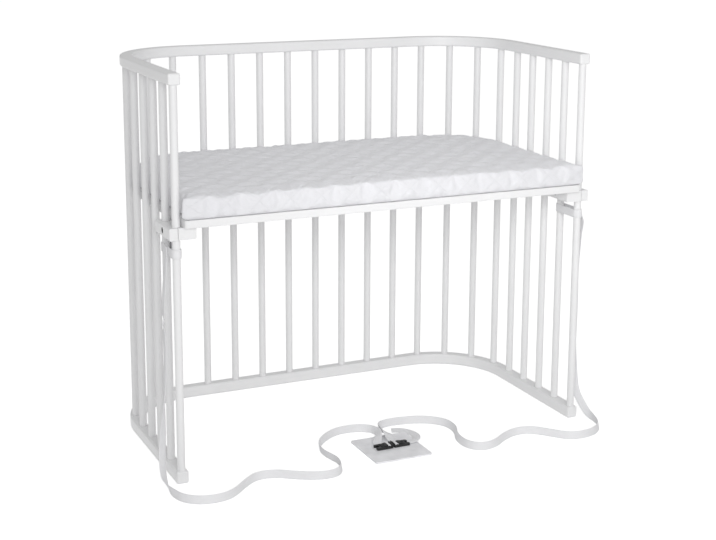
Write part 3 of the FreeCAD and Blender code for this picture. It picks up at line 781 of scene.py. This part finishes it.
@dataclass
class Strap:
    """One webbing strap: a smooth route, a roll along it and the ribbon swept on it.

    Sizes are in metres, but the route's points are in millimetres. Each roll is a share of the
    length and the degrees that the webbing has turned there.
    """

    name: str
    route: Route = ()
    first_normal: Point = (1, 0, 0)
    rolls: Rolls = ((0, 0), (1, 0))
    width: float = 18 * MM
    thickness: float = 1.5 * MM
    ripple: float = 2.0
    ripple_pace: tuple[float, float] = (47, 19)
    least_step: float = 0.8 * MM
    path: list[Vector] = field(default_factory=list)
    length: float = 0.0

    def lay(self) -> None:
        """Read the route's smooth line from a NURBS curve with the route as control points."""
        data = bpy.data.curves.new(self.name + "_route", "CURVE")
        data.dimensions = "3D"
        data.resolution_u = 10
        spline = data.splines.new("NURBS")
        spline.points.add(len(self.route) - 1)
        for point, place in zip(spline.points, self.route):
            point.co = (*[part * MM for part in place], 1)
        spline.order_u = 3
        spline.use_endpoint_u = True
        curve = bpy.data.objects.new(self.name + "_route", data)
        bpy.context.scene.collection.objects.link(curve)
        bpy.context.view_layer.update()
        line = bpy.data.meshes.new_from_object(curve)
        points = [vertex.co.copy() for vertex in line.vertices]
        self.path = [points[0]]
        for point in points[1:]:
            if (point - self.path[-1]).length > self.least_step:
                self.path.append(point)
        self.length = sum((b - a).length for a, b in zip(self.path, self.path[1:]))
        bpy.data.objects.remove(curve, do_unlink=True)
        bpy.data.meshes.remove(line)

    def roll_at(self, travelled: float) -> float:
        """Work out the webbing's roll at a distance along it.

        Args:
            travelled: The distance, in metres.

        Returns:
            The roll, in radians.
        """
        share = travelled / self.length
        knots = self.rolls
        for (start, low), (end, high) in zip(knots, knots[1:]):
            if share <= end:
                part = (share - start) / max(end - start, TINY)
                part = part * part * (3 - 2 * part)
                return math.radians(low + (high - low) * part)
        return math.radians(knots[-1][1])

    def section(self) -> list[tuple[float, float]]:
        """Draw the webbing's cross-section round its two edges.

        Returns:
            The places of its corners across and through the webbing, in metres.
        """
        half, through = self.width / 2, self.thickness / 2
        upper = [(half * share, through) for share in (0.93, 0.55, 0.18, -0.18, -0.55, -0.93)]
        edge = [(-half, through * 0.45), (-half, -through * 0.45)]
        lower = [(-across, -height) for across, height in upper]
        return upper + edge + lower + [(-across, -height) for across, height in edge]

    def build(self) -> bpy.types.Object:
        """Sweep the ribbon along the route, with its rolls and a slight ripple.

        Returns:
            The webbing as a mesh.
        """
        self.lay()
        normal = Vector(self.first_normal)
        stations, travelled = [], 0.0
        for place, centre in enumerate(self.path):
            before = self.path[max(place - 1, 0)]
            after = self.path[min(place + 1, len(self.path) - 1)]
            tangent = (after - before).normalized()
            normal = (normal - tangent * normal.dot(tangent)).normalized()
            if place:
                travelled += (centre - before).length
            fast, slow = (math.sin(travelled * pace) for pace in self.ripple_pace)
            waver = math.radians(self.ripple) * fast * slow
            turned = Matrix.Rotation(self.roll_at(travelled) + waver, 3, tangent) @ normal
            stations.append((centre, tangent.cross(turned), turned))
        return self.sweep(stations)

    def sweep(self, stations: Sequence[tuple[Vector, Vector, Vector]],
              closed: bool = False) -> bpy.types.Object:
        """Sweep the cross-section over a row of stations.

        Args:
            stations: Each one's centre, and the ways across and through the webbing there.
            closed: Whether the last station leads back to the first.

        Returns:
            The webbing as a mesh, with a UV map in metres along and across it.
        """
        section = self.section()
        count, total = len(section), len(stations)
        points = [centre + across * a + through * t
                  for centre, across, through in stations for a, t in section]
        distances = [0.0]
        for (before, *_), (centre, *_) in zip(stations, stations[1:]):
            distances.append(distances[-1] + (centre - before).length)
        faces = []
        for ring in range(total if closed else total - 1):
            start, end = ring * count, (ring + 1) % total * count
            for corner in range(count):
                following = (corner + 1) % count
                faces.append((start + corner, start + following, end + following, end + corner))
        if not closed:
            last = (total - 1) * count
            faces += [tuple(reversed(range(count))), tuple(range(last, last + count))]
        piece = Bench.mesh(self.name, points, faces)
        layer = piece.data.uv_layers.new(name="along")
        for loop in piece.data.loops:
            ring, corner = divmod(loop.vertex_index, count)
            layer.data[loop.index].uv = (distances[ring], section[corner][0])
        Bench.face_out(piece)
        Bench.smooth(piece, 50)
        return piece


@dataclass(frozen=True)
class BuckleShape:
    """The strap buckle in millimetres: stations count from the fork's tip, heights from below."""

    length: float = 38
    half_width: float = 12.5
    body: float = 5.2
    corner: float = 4
    edge: float = 1.2
    slots: tuple[float, ...] = (11, 30.6)
    slot_length: float = 3.4
    slot_half: float = 9.6
    fork_depth: float = 8.6
    fork_half: float = 5
    lever: Sequence[tuple[float, float]] = (
        (12.5, 3.4), (12.5, 5.6), (17.5, 7.4), (21.5, 8.6), (25.5, 8.6), (28.5, 6.6), (29.6, 3.4))
    lever_start: float = -8.6
    lever_width: float = 15.6
    lever_edge: float = 0.8
    grips: tuple[float, ...] = (14.2, 16.6, 19)
    grip_half: float = 6
    grip_edge: float = 0.3
    bar: Sequence[tuple[float, float]] = (
        (34.6, 3.2), (35.2, 7.6), (36.6, 8.8), (37.9, 8.2), (37.8, 3.2))
    bar_half: float = 10.8
    bar_edge: float = 0.7
    clear: tuple[float, float] = (-5, 15)

    def lever_height(self, station: float) -> float:
        """Return how high the lever's slope is at a station."""
        (start, low), (end, high) = self.lever[1:3]
        return low + (station - start) * (high - low) / (end - start)


@dataclass
class Harness:
    """Both straps, their loops round the dowels, the free tail, the buckles and the plate."""

    finishes: Finishes
    left_route: Route = (
        (-468.4, -195, 479), (-468.6, -195, 455), (-471, -195, 425), (-477, -194, 340),
        (-474, -195, 260), (-478, -195, 180), (-482, -196, 115), (-488, -203, 62),
        (-494, -222, 28), (-497, -252, 10), (-496, -290, 9), (-485, -328, 9), (-455, -351, 9),
        (-415, -355, 9), (-383, -341, 9), (-348, -305, 9), (-316, -281, 9), (-278, -285, 9),
        (-240, -313, 9), (-205, -332, 9), (-166, -336, 9), (-142, -315, 9), (-133, -275, 9),
        (-145, -232, 9), (-144, -190, 9), (-117, -151, 9), (-72, -121, 9), (-25, -121, 9),
        (2, -138, 9), (6, -160, 11), (4, -176, 13.6), (-3, -190, 12.5), (-12, -205, 9),
        (-19, -217, 7), (-20, -227, 7))
    right_route: Route = (
        (468.4, -222, 479), (468.6, -222, 468), (477, -223, 450), (471, -222, 420),
        (468, -219, 340), (470, -220, 255), (468, -220, 180), (468.5, -221, 115),
        (472, -225, 62),
        (482, -238, 32), (488, -256, 12), (488, -283, 9), (478, -318, 9), (452, -346, 9),
        (413, -358, 9), (375, -350, 9), (348, -315, 9), (322, -287, 9), (285, -280, 9),
        (245, -298, 9), (212, -324, 9), (175, -331, 9), (151, -306, 9), (151, -258, 9),
        (172, -218, 9), (173, -172, 9), (138, -135, 9), (85, -121, 9), (42, -121, 9),
        (21, -136, 9), (20, -158, 11), (20, -175, 13.6), (20, -189, 12.5), (19, -204, 9),
        (19, -216, 7), (20, -226, 7))
    left_rolls: Rolls = (
        (0, 0), (0.10, 0), (0.115, 30), (0.13, 0), (0.20, 0), (0.30, 62), (0.345, 62),
        (0.40, 0), (0.935, 0), (0.99, -90), (1, -90))
    right_rolls: Rolls = (
        (0, 0), (0.22, 0), (0.31, -45), (0.345, -45), (0.40, 0), (0.935, 0), (0.99, 90),
        (1, 90))
    tail_route: Route = (
        (45, -238, 7), (56, -237, 7), (67, -231, 6.8), (76, -218, 6.2), (80, -202, 5.2),
        (79, -185, 4.2), (72, -169, 3.6), (60, -158, 3.4), (46, -154, 3.4))
    tail_rolls: Rolls = ((0, 0), (0.3, -12), (1, -14))
    loop_bottom: float = 462 * MM
    loop_play: float = 0.3 * MM
    loop_steps: int = 12
    webbing_thickness: float = 1.6 * MM
    fold_width: float = 17.6 * MM
    fold_stations: Sequence[tuple[float, float]] = (
        (32.6, 0.9), (32.6, 3.4), (32.3, 6.3), (30.8, 7.4), (28.6, 6.2), (26, 6))
    shape: BuckleShape = BuckleShape()

    def build(self) -> None:
        """Build every strap piece and dress the plate."""
        buckles = {side: self.buckle(side) for side in ("left", "right")}
        self.strap("left", self.left_route, (-1, 0, 0), buckles["left"], self.left_rolls)
        self.strap("right", self.right_route, (1, 0, 0), buckles["right"], self.right_rolls)
        self.tail()
        for side in ("left", "right"):
            self.loop(side)
        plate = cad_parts["strap_plate"]
        dress(plate, self.finishes.plate)

    def strap(self, side: str, route: Route, normal: Point,
              buckle: bpy.types.Object, rolls: Rolls) -> None:
        """Build one strap from its loop to its buckle.

        Args:
            side: Left or right.
            route: The strap's way down to the floor and along it, in millimetres.
            normal: The way the webbing's face looks where it leaves its loop.
            buckle: The buckle at its end; not used.
            rolls: How the webbing turns along the way.
        """
        strap = Strap(f"strap_{side}", route, normal, rolls)
        piece = strap.build()
        dress(piece, self.finishes.webbing)
        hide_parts(f"strap_{side}_hanging", f"strap_{side}_floor", f"strap_{side}_end")
        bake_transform(piece)
        log.info("strap_%s: %.0f mm of webbing", side, strap.length / MM)

    def tail(self) -> None:
        """Build the free end of the right strap beyond its buckle."""
        strap = Strap("strap_tail", self.tail_route, (0, 0, 1), self.tail_rolls)
        piece = strap.build()
        dress(piece, self.finishes.webbing)
        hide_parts("strap_right_tail")
        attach(piece, "frame")
        log.info("strap_tail: %.0f mm of webbing", strap.length / MM)

    def loop(self, side: str) -> None:
        """Build the sewn loop of webbing round the two dowels under a front clamp.

        Args:
            side: Left or right.
        """
        nodes = (f"{side}_dowel_1", f"{side}_dowel_2")
        (low_a, high_a), (low_b, high_b) = (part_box(node) for node in nodes)
        x = (low_a[0] + high_a[0]) / 2
        near, far = (low_a[1] + high_a[1]) / 2, (low_b[1] + high_b[1]) / 2
        radius = (high_a[0] - low_a[0]) / 2 + self.loop_play + self.webbing_thickness / 2
        centre = self.loop_bottom + Strap.width / 2
        ring = []
        for middle, start in ((far, 0), (near, math.pi)):
            for step in range(self.loop_steps + 1):
                angle = start + math.pi * step / self.loop_steps
                ring.append(Vector((x + radius * math.cos(angle),
                                    middle + radius * math.sin(angle), centre)))
        up = Vector((0, 0, 1))
        strap = Strap(f"strap_loop_ring_{side}", thickness=self.webbing_thickness)
        piece = strap.sweep([(place, up, (after - before).normalized().cross(up))
                             for before, place, after
                             in zip(ring[-1:] + ring, ring, ring[1:] + ring[:1])], closed=True)
        dress(piece, self.finishes.webbing)
        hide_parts(f"strap_loop_{side}")
        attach(piece, "base")

    def buckle(self, side: str) -> bpy.types.Object:
        """Build one strap buckle over its CAD solid.

        The right buckle lies turned end for end, so its fork points right.

        Args:
            side: Left or right.

        Returns:
            The buckle: a rounded frame with two slots, a fork, a lever and a lifted end bar.
        """
        shape = self.shape
        low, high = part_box(f"buckle_{side}")
        middle, base = (low[1] + high[1]) / 2, low[2]
        origin, way = (low[0], 1) if side == "left" else (high[0], -1)

        def box(name: str, start: float, end: float, half: float, under: float,
                over: float) -> bpy.types.Object:
            """Add a block between two stations and two heights, half as wide each side."""
            left, right = sorted((origin + way * start * MM, origin + way * end * MM))
            return Bench.block(name, (left, middle - half * MM, base + under * MM),
                               (right, middle + half * MM, base + over * MM))

        def slab(name: str, outline: Sequence[tuple[float, float]], start: float, width: float,
                 edge: float) -> bpy.types.Object:
            """Add an outline of stations and heights, drawn out along Y and rounded.

            Args:
                name: The new object's name.
                outline: Its corners, in millimetres.
                start: Where it starts along Y from the middle.
                width: How wide it is.
                edge: The radius of its edges.

            Returns:
                The slab.
            """
            made = Bench.prism(name, [(origin + way * x * MM, base + z * MM) for x, z in outline],
                               middle + start * MM, width * MM)
            Bench.round_edges(made, edge * MM, 3, lambda edge: True)
            return made

        body = box(f"strap_buckle_{side}", 0, shape.length, shape.half_width, 0, shape.body)
        Bench.round_edges(body, shape.corner * MM, 4, lambda edge: Bench.upright(edge) > 0.9)
        Bench.round_edges(body, shape.edge * MM, 3, lambda edge: Bench.upright(edge) < 0.5)
        for start in shape.slots:
            Bench.cut(body, box("slot", start, start + shape.slot_length, shape.slot_half,
                                *shape.clear))
        Bench.cut(body, box("fork_gap", -3, shape.fork_depth, shape.fork_half, *shape.clear))
        parts = [body, slab("lever", shape.lever, shape.lever_start, shape.lever_width,
                            shape.lever_edge)]
        for place in shape.grips:
            height = shape.lever_height(place)
            rib = box("grip", place - 0.45, place + 0.45, shape.grip_half, height - 1,
                      height + 0.75)
            Bench.round_edges(rib, shape.grip_edge * MM, 2, lambda edge: True)
            parts.append(rib)
        bar = slab("end_bar", shape.bar, -shape.bar_half, 2 * shape.bar_half, shape.bar_edge)
        buckle = Bench.join(f"strap_buckle_{side}", parts + [bar])
        Bench.smooth(buckle, 40)
        dress(buckle, self.finishes.buckle)
        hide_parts(f"buckle_{side}")
        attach(buckle, "frame")
        self.fold(side, origin, way, middle, base)
        return buckle

    def fold(self, side: str, origin: float, way: int, middle: float, base: float) -> None:
        """Thread a turn of webbing up through a buckle's slot and under its lever.

        Args:
            side: Left or right.
            origin: Where the fork's tip lies along X.
            way: The direction along X in which the buckle's stations count.
            middle: The buckle's middle along Y.
            base: The buckle's underside.
        """
        route = [(origin / MM + way * x, middle / MM, base / MM + z)
                 for x, z in self.fold_stations]
        piece = Strap(f"strap_fold_{side}", route, (way, 0, 0), width=self.fold_width).build()
        dress(piece, self.finishes.webbing)
        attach(piece, "frame")


# ------------------------------------------------------------------ mattress


@dataclass(frozen=True)
class CoverCloth:
    """How the mattress cover is simulated: its fabric, the air in it and where it is held."""

    quality: int = 5
    mass: float = 0.2
    tension: float = 5
    shear: float = 2
    bending: float = 0.15
    ease: float = 0.08
    pressure: float = 5.0
    frames: int = 20
    most: float = 6 * MM
    held_width: float = 3.5 * MM
    held_base: float = 4 * MM
    levels: int = 20


@dataclass
class Mattress:
    """The quilted mattress: a pad blown up between its sewn lines; sizes in metres."""

    finishes: Finishes
    rear_radius: float = 158.5 * MM
    front_radius: float = 9 * MM
    edge_radius: float = 12 * MM
    allowance: float = 3 * MM
    voxel: float = 6 * MM
    cell: tuple[float, float] = (66 * MM, 66 * MM)
    cloth: CoverCloth = CoverCloth()
    groove: float = 0.7 * MM
    groove_width: float = 4.5 * MM
    ear: float = 13.5 * MM
    ear_start: float = 13.5 * MM
    ear_rise: float = 5 * MM
    ear_length: tuple[float, float] = (32 * MM, 22 * MM)
    crown: float = 2.5 * MM
    crown_reach: float = 150 * MM
    low: Vector = field(default_factory=Vector)
    high: Vector = field(default_factory=Vector)

    def build(self) -> None:
        self.low, self.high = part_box("mattress")
        piece = self.pad()
        self.blow_up(piece)
        Bench.apply(piece, "SUBSURF", levels=1, render_levels=1)
        self.finish_shape(piece)
        Bench.smooth(piece, 80)
        dress(piece, self.finishes.cover)
        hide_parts("mattress")
        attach(piece, "mattress")
        log.info("mattress: %d faces", len(piece.data.polygons))

    def pad(self) -> bpy.types.Object:
        """Make an even mesh of the plain pad, a little smaller than the mattress.

        Returns:
            The pad.
        """
        low, high, spare = self.low, self.high, self.allowance
        top = high[2] - spare - self.crown
        pad = Bench.block("mattress_pad", (low[0] + spare, low[1] + spare, low[2]),
                          (high[0] - spare, high[1] - spare, top))
        middle = (low[1] + high[1]) / 2
        for radius, segments, rear in ((self.rear_radius, 20, True), (self.front_radius, 6, False)):
            Bench.round_edges(pad, radius, segments, lambda edge, rear=rear: (
                Bench.upright(edge) > 0.9 and (edge.verts[0].co.y > middle) == rear
                and abs(abs(edge.verts[0].co.x) - high[0] + spare) < NEAR))
        for level, radius in ((top, self.edge_radius), (low[2], 0.6 * self.edge_radius)):
            Bench.round_edges(pad, radius, 5, lambda edge, level=level: all(
                abs(vertex.co.z - level) < NEAR for vertex in edge.verts)
                and len(edge.link_faces) == 2 and abs(edge.link_faces[0].normal.z
                                                      - edge.link_faces[1].normal.z) > 0.5)
        Bench.apply(pad, "REMESH", mode="VOXEL", voxel_size=self.voxel)
        return pad

    @staticmethod
    def read(piece: bpy.types.Object, name: str) -> np.ndarray:
        """Read a value of every vertex.

        Args:
            piece: The mesh object.
            name: The value's name, co or normal.

        Returns:
            The values, a row for each vertex.
        """
        values = np.empty(len(piece.data.vertices) * 3)
        piece.data.vertices.foreach_get(name, values)
        return values.reshape(-1, 3)

    def outline(self, x: np.ndarray, y: np.ndarray) -> np.ndarray:
        """Measure how far points lie outside the pad's plan outline.

        Args:
            x: The points' places along X.
            y: Their places along Y.

        Returns:
            The distances, below 0 inside the outline.
        """
        low, high, spare = self.low, self.high, self.allowance
        middle = (low[1] + high[1]) / 2
        radius = np.where(y > middle, self.rear_radius, self.front_radius)
        over_x = np.abs(x) - (high[0] - spare - radius)
        over_y = np.abs(y - middle) - ((high[1] - low[1]) / 2 - spare - radius)
        outside = np.hypot(np.maximum(over_x, 0), np.maximum(over_y, 0))
        return outside + np.minimum(np.maximum(over_x, over_y), 0) - radius

    def lines(self, co: np.ndarray) -> tuple[np.ndarray, np.ndarray]:
        """Return where each point stands in the quilting's two sets of lines.

        Args:
            co: The points.

        Returns:
            Two counts of lines; a line runs wherever a count is a whole number and a half.
        """
        x, y, z = co.T
        step = 0.5 * MM
        edge = self.outline(x, y)
        slope_x = self.outline(x + step, y) - edge
        slope_y = self.outline(x, y + step) - edge
        steep = np.maximum(np.hypot(slope_x, slope_y), TINY)
        top = self.high[2] - self.allowance - self.crown
        drop = np.clip(top - z, 0, None) * np.clip(1 + edge / self.edge_radius, 0, 1)
        across = x + slope_x / steep * drop
        along = y + slope_y / steep * drop - (self.low[1] + self.high[1]) / 2
        length, depth = self.cell
        return across / length - along / depth, across / length + along / depth

    def to_line(self, counts: tuple[np.ndarray, np.ndarray]) -> np.ndarray:
        """Measure from each point to the nearest sewn line.

        Args:
            counts: Where the points stand in the two sets of lines.

        Returns:
            The distances, in metres.
        """
        length, depth = self.cell
        metres = length * depth / math.hypot(length, depth)
        return np.minimum(*[np.abs(line - np.floor(line) - 0.5) * metres for line in counts])

    def blow_up(self, piece: bpy.types.Object) -> None:
        """Simulate the cover under air pressure, held along its sewn lines and its base.

        Args:
            piece: The even pad mesh, which takes the simulation's result.
        """
        start = self.read(piece, "co")
        rules = self.cloth
        held = np.exp(-(self.to_line(self.lines(start)) / rules.held_width) ** 2)
        held = np.where(start[:, 2] < self.low[2] + rules.held_base, 1.0, held)
        group = piece.vertex_groups.new(name="sewn")
        levels = np.round(held * rules.levels).astype(int)
        for level in range(1, rules.levels + 1):
            group.add(np.flatnonzero(levels == level).tolist(), level / rules.levels, "REPLACE")
        Bench.focus(piece)
        modifier = piece.modifiers.new("Cloth", "CLOTH")
        cloth = modifier.settings
        cloth.quality = rules.quality
        cloth.mass = rules.mass
        cloth.tension_stiffness = cloth.compression_stiffness = rules.tension
        cloth.shear_stiffness = rules.shear
        cloth.bending_stiffness = rules.bending
        cloth.shrink_min = -rules.ease
        cloth.use_pressure = True
        cloth.uniform_pressure_force = rules.pressure
        cloth.vertex_group_mass = group.name
        cloth.effector_weights.gravity = 0
        scene = bpy.context.scene
        for frame_number in range(1, rules.frames + 1):
            scene.frame_set(frame_number)
        bpy.ops.object.modifier_apply(modifier=modifier.name)
        scene.frame_set(1)
        moved = self.read(piece, "co") - start
        far = np.maximum(np.linalg.norm(moved, axis=1), TINY)
        log.info("mattress cover: moved %.1f mm at most, %.1f mm on average",
                 far.max() / MM, far.mean() / MM)
        kept = rules.most * np.tanh(far / rules.most)
        co = start + moved * (kept / far)[:, None]
        piece.data.vertices.foreach_set("co", co.ravel())
        piece.data.update()
        piece.vertex_groups.clear()

    def finish_shape(self, piece: bpy.types.Object) -> None:
        """Press the sewn lines in, crown the top, fill the front corners and write the UV map.

        Args:
            piece: The mattress after its simulation.
        """
        low, high = self.low, self.high
        co, normals = self.read(piece, "co"), self.read(piece, "normal")
        counts = self.lines(co)
        x, y, z = co.T
        upper = 1 - np.clip(-normals[:, 2] * 2, 0, 1)
        seam = np.exp(-(self.to_line(counts) / self.groove_width) ** 2)
        edge = self.outline(x, y)
        top = np.clip(normals[:, 2] * 1.6 - 0.3, 0, 1)
        co -= normals * (self.groove * seam * upper)[:, None]
        share = np.clip(-edge / self.crown_reach, 0, 1)
        co[:, 2] += self.crown * top * share * (2 - share)
        front = np.clip((low[1] + self.ear_start - y) / self.ear_rise, 0, 1)
        reach, rise = self.ear_length
        side = np.clip((np.abs(x) - high[0] + reach) / rise, 0, 1)
        co[:, 0] += np.sign(x) * self.ear * front * (3 - 2 * front) * front * side
        co[:, 2] = np.maximum(co[:, 2], low[2])
        piece.data.vertices.foreach_set("co", co.ravel())
        layer = piece.data.uv_layers.new(name="quilting")
        corners = np.empty(len(piece.data.loops), int)
        piece.data.loops.foreach_get("vertex_index", corners)
        layer.data.foreach_set("uv", np.stack(counts, axis=1)[corners].astype(np.float32).ravel())
        piece.data.update()


# ------------------------------------------------------------------ wooden parts


@dataclass
class Woodwork:
    """Rails, dowels, board and clamps: the CAD solids in their finishes."""

    finishes: Finishes

    def build(self) -> None:
        """Dress every wooden node and fastener."""
        finishes = self.finishes
        for name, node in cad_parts.items():
            if "dowel" in name:
                dress(node, finishes.dowel)
            elif name.endswith("_rail"):
                dress(node, finishes.rail)
            elif name == "lying_board":
                dress(node, finishes.board)
            elif "strip_back" in name:
                dress(node, finishes.back_strip)
            elif "strip" in name:
                dress(node, finishes.side_strip)
            elif name.startswith("clamp_bolt"):
                dress(node, finishes.black_steel)
            elif name in ("sleeve_nuts", "board_screws"):
                dress(node, finishes.zinc)
        log.info("woodwork: %d nodes dressed", len(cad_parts))


def main() -> None:
    """Build the studio and the crib."""
    logging.basicConfig(level=logging.INFO, format="%(message)s")
    Studio().build()
    finishes = Finishes()
    Harness(finishes).build()
    Woodwork(finishes).build()
    Mattress(finishes).build()


if __name__ == "__main__":
    main()
